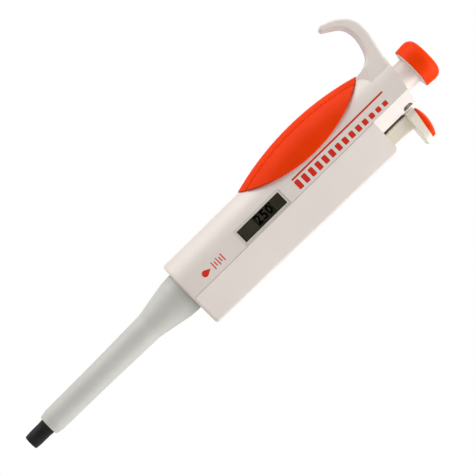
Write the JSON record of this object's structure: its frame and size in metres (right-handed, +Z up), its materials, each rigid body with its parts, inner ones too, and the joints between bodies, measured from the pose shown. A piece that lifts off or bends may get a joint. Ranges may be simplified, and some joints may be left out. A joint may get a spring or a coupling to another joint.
{
  "type": "adjustable micropipette",
  "caption": "Hand-held adjustable micropipette with a finger hook, press-and-turn button, volume counter and sliding tip ejector sleeve.",
  "frame": {"origin": "on the pipette's axis at the end of the tip cone", "axes": "+Z up the pipette's axis towards its button, finger hook towards -X, display window towards -Y"},
  "size_m": [0.0686, 0.0274, 0.2366],
  "materials": {
    "shell": "warm white moulded plastic, fine satin texture",
    "sleeve_plastic": "pale grey moulded plastic, satin",
    "beige_plastic": "cream moulded plastic, satin",
    "orange_plastic": "vivid orange moulded plastic, semi-gloss",
    "grip_rubber": "soft orange overmoulded elastomer, fine matt grain",
    "black_plastic": "black moulded plastic, satin",
    "dark_plastic": "dark olive printed panel, matt",
    "drum_plastic": "dark olive number drum, matt",
    "lens": "clear smoked window",
    "inner_plastic": "grey moulded plastic",
    "steel": "ground stainless steel",
    "brass": "turned brass",
    "seal_rubber": "black seal elastomer"
  },
  "bodies": {
    "handle": {"handle_body": "shell", "ejector_cover": "shell", "soft_grip": "grip_rubber", "window_bezel": "shell", "display_window": "lens", "counter_mask": "dark_plastic", "counter_frame": "inner_plastic", "counter_bridge": "inner_plastic", "bridge_screws": "steel", "pinion_axle": "steel", "thrust_washer": "steel", "top_guide_bush": "inner_plastic", "return_spring": "steel", "piston_seal": "seal_rubber", "seal_o_ring": "seal_rubber", "seal_retainer": "inner_plastic", "inner_barrel": "inner_plastic", "shaft_nut": "brass", "tip_cone": "black_plastic", "ejector_guide": "inner_plastic", "ejector_spring": "steel"},
    "piston_group": {"piston": "steel", "piston_carrier": "inner_plastic"},
    "plunger": {"push_rod": "steel", "plunger_stem": "shell", "stop_washer": "steel", "button_cap": "orange_plastic", "button_ring": "shell"},
    "spindle": {"volume_spindle": "brass", "drum_driver": "inner_plastic", "drum_units": "drum_plastic"},
    "stop_nut": {"stop_nut": "inner_plastic", "blowout_spring": "steel"},
    "tens_drum": {"drum_tens": "drum_plastic"},
    "hundreds_drum": {"drum_hundreds": "drum_plastic"},
    "tens_pinion": {"pinion_tens": "inner_plastic"},
    "hundreds_pinion": {"pinion_hundreds": "inner_plastic"},
    "ejector": {"ejector_sleeve": "sleeve_plastic", "ejector_arm": "inner_plastic", "ejector_rod": "steel", "ejector_stem": "beige_plastic", "ejector_button": "beige_plastic", "ejector_pad": "orange_plastic"}
  },
  "joints": [
    {"name": "plunger_press", "type": "slide", "parent": "handle", "child": "piston_group", "axis": [0, 0, 1], "range_m": [-0.0052, 0], "stiffness_N_per_m": 900, "springref_m": 0.003, "deforming": ["return_spring", "blowout_spring"]},
    {"name": "volume_turn", "type": "hinge", "parent": "piston_group", "child": "plunger", "pos_m": [0, 0, 0.2], "axis": [0, 0, 1], "range_deg": [-3600, 0]},
    {"name": "spindle_spin", "type": "hinge", "parent": "handle", "child": "spindle", "pos_m": [0, 0, 0.17], "axis": [0, 0, 1], "range_deg": [-3600, 0]},
    {"name": "stop_nut_travel", "type": "slide", "parent": "handle", "child": "stop_nut", "axis": [0, 0, 1], "range_m": [0, 0.00328]},
    {"name": "tens_drum_spin", "type": "hinge", "parent": "handle", "child": "tens_drum", "pos_m": [0, 0, 0.139], "axis": [0, 0, 1], "range_deg": [-720, 0]},
    {"name": "hundreds_drum_spin", "type": "hinge", "parent": "handle", "child": "hundreds_drum", "pos_m": [0, 0, 0.136], "axis": [0, 0, 1], "range_deg": [-72, 0]},
    {"name": "tens_pinion_spin", "type": "hinge", "parent": "handle", "child": "tens_pinion", "pos_m": [-0.01045, 0, 0.1405], "axis": [0, 0, 1], "range_deg": [0, 4320]},
    {"name": "hundreds_pinion_spin", "type": "hinge", "parent": "handle", "child": "hundreds_pinion", "pos_m": [-0.01045, 0, 0.1375], "axis": [0, 0, 1], "range_deg": [0, 432]},
    {"name": "tip_eject", "type": "slide", "parent": "handle", "child": "ejector", "axis": [0, 0, 1], "range_m": [-0.0095, 0], "stiffness_N_per_m": 300, "springref_m": 0.004, "deforming": ["ejector_spring"]}
  ],
  "couplings": [
    {"joint": "spindle_spin", "follows": "volume_turn", "ratio": 1},
    {"joint": "stop_nut_travel", "follows": "volume_turn", "m_per_rad": -0.000052203},
    {"joint": "tens_drum_spin", "follows": "volume_turn", "ratio": 0.2},
    {"joint": "hundreds_drum_spin", "follows": "volume_turn", "ratio": 0.02},
    {"joint": "tens_pinion_spin", "follows": "volume_turn", "ratio": -1.2},
    {"joint": "hundreds_pinion_spin", "follows": "volume_turn", "ratio": -0.12}
  ]
}
